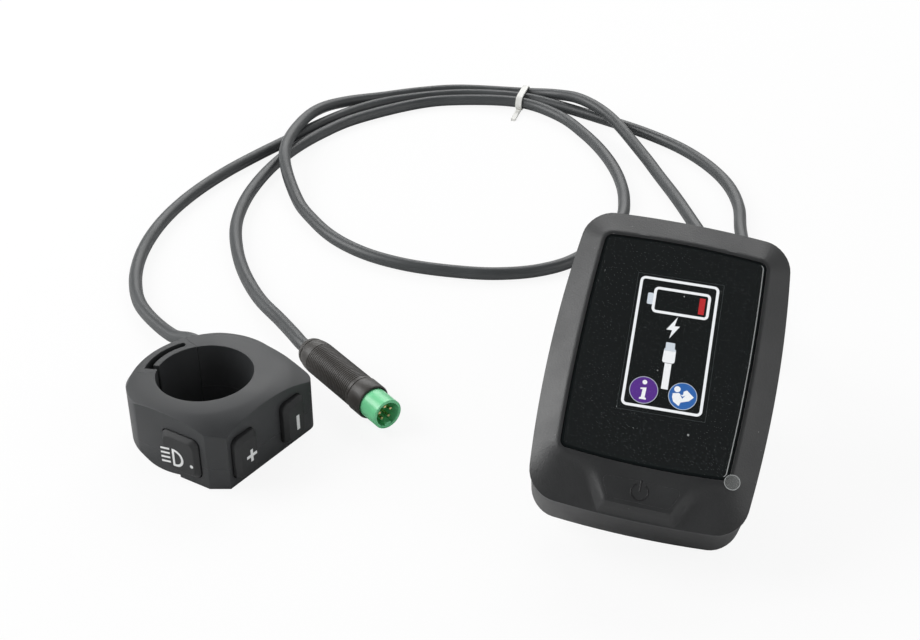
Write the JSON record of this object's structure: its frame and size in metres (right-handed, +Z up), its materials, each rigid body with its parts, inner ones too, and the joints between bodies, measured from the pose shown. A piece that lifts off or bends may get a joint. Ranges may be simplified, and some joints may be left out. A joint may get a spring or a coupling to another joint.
{
  "type": "e-bike display",
  "caption": "Compact e-bike display head with a bar clamp, a wired ring remote with plus, minus and light keys, and a keyed round plug on its own cord.",
  "frame": {"origin": "centre of the handlebar bore of the display's clamp, in the middle of its width", "axes": "+Z up from the table the set lies on, along the remote's bore; +X to the display's right; +Y to the back, away from the display's face"},
  "size_m": [0.1844, 0.2261, 0.0536],
  "materials": {
    "housing": "spark-eroded matte",
    "rear_housing": "spark-eroded matte",
    "remote_housing": "smooth matte",
    "bracket": "matte",
    "keys": "satin",
    "window": "dark tinted, gloss",
    "screen": "dark",
    "film": "clear film",
    "white_plastic": "matte",
    "board": "solder mask",
    "chips": "matte",
    "black_rubber": "matte",
    "cord_jacket": "satin",
    "plug_rubber": "ribbed matte",
    "mint_plastic": "satin",
    "tie_white": "satin",
    "light_pipe": "clear",
    "bare_steel": "plain",
    "black_steel": "black oxide",
    "brass": "turned",
    "gold_pins": "plated"
  },
  "bodies": {
    "display_and_remote": {"front_cover": "housing", "display_lens": "window", "lens_tape": "black_rubber", "lcd_panel": "screen", "lcd_carrier": "white_plastic", "main_board": "board", "board_parts": "chips", "power_switch": "bare_steel", "cover_seal": "black_rubber", "rear_cover": "rear_housing", "cover_screws": "bare_steel", "protective_film": "film", "clamp_bracket": "bracket", "bracket_screws": "bare_steel", "clamp_bolt": "black_steel", "clamp_nut": "bare_steel", "remote_cord_boot": "black_rubber", "plug_cord_boot": "black_rubber", "remote_upper_shell": "remote_housing", "remote_lower_shell": "remote_housing", "remote_clamp_jaw": "remote_housing", "clamp_insert": "brass", "key_board": "board", "light_board": "board", "key_switches": "bare_steel", "light_switch": "bare_steel", "remote_grommet": "black_rubber", "shell_screws": "bare_steel", "remote_cord": "cord_jacket", "plug_cord": "cord_jacket", "cord_tie": "tie_white", "plug_barrel": "plug_rubber", "plug_insert": "mint_plastic", "plug_pins": "gold_pins"},
    "power_key": {"power_button": "keys"},
    "plus_key": {"plus_button": "keys"},
    "minus_key": {"minus_button": "keys"},
    "light_key": {"light_button": "keys", "status_light": "light_pipe"},
    "grub_screw": {"remote_clamp_screw": "black_steel"}
  },
  "joints": [
    {"name": "power_press", "type": "slide", "parent": "display_and_remote", "child": "power_key", "axis": [-0.1249, 0.568, -0.8135], "range_m": [0, 0.0005], "stiffness_N_per_m": 1500},
    {"name": "plus_press", "type": "slide", "parent": "display_and_remote", "child": "plus_key", "axis": [-0.9511, 0.309, 0], "range_m": [0, 0.0007], "stiffness_N_per_m": 1500},
    {"name": "minus_press", "type": "slide", "parent": "display_and_remote", "child": "minus_key", "axis": [-0.9511, 0.309, 0], "range_m": [0, 0.0007], "stiffness_N_per_m": 1500},
    {"name": "light_press", "type": "slide", "parent": "display_and_remote", "child": "light_key", "axis": [0.2334, 0.9724, 0], "range_m": [0, 0.0006], "stiffness_N_per_m": 1500},
    {"name": "clamp_screw_turn", "type": "hinge", "parent": "display_and_remote", "child": "grub_screw", "pos_m": [-0.0978, -0.05027, -0.00978], "axis": [-0.9537, 0.3007, 0], "range_deg": [-360, 360]}
  ]
}
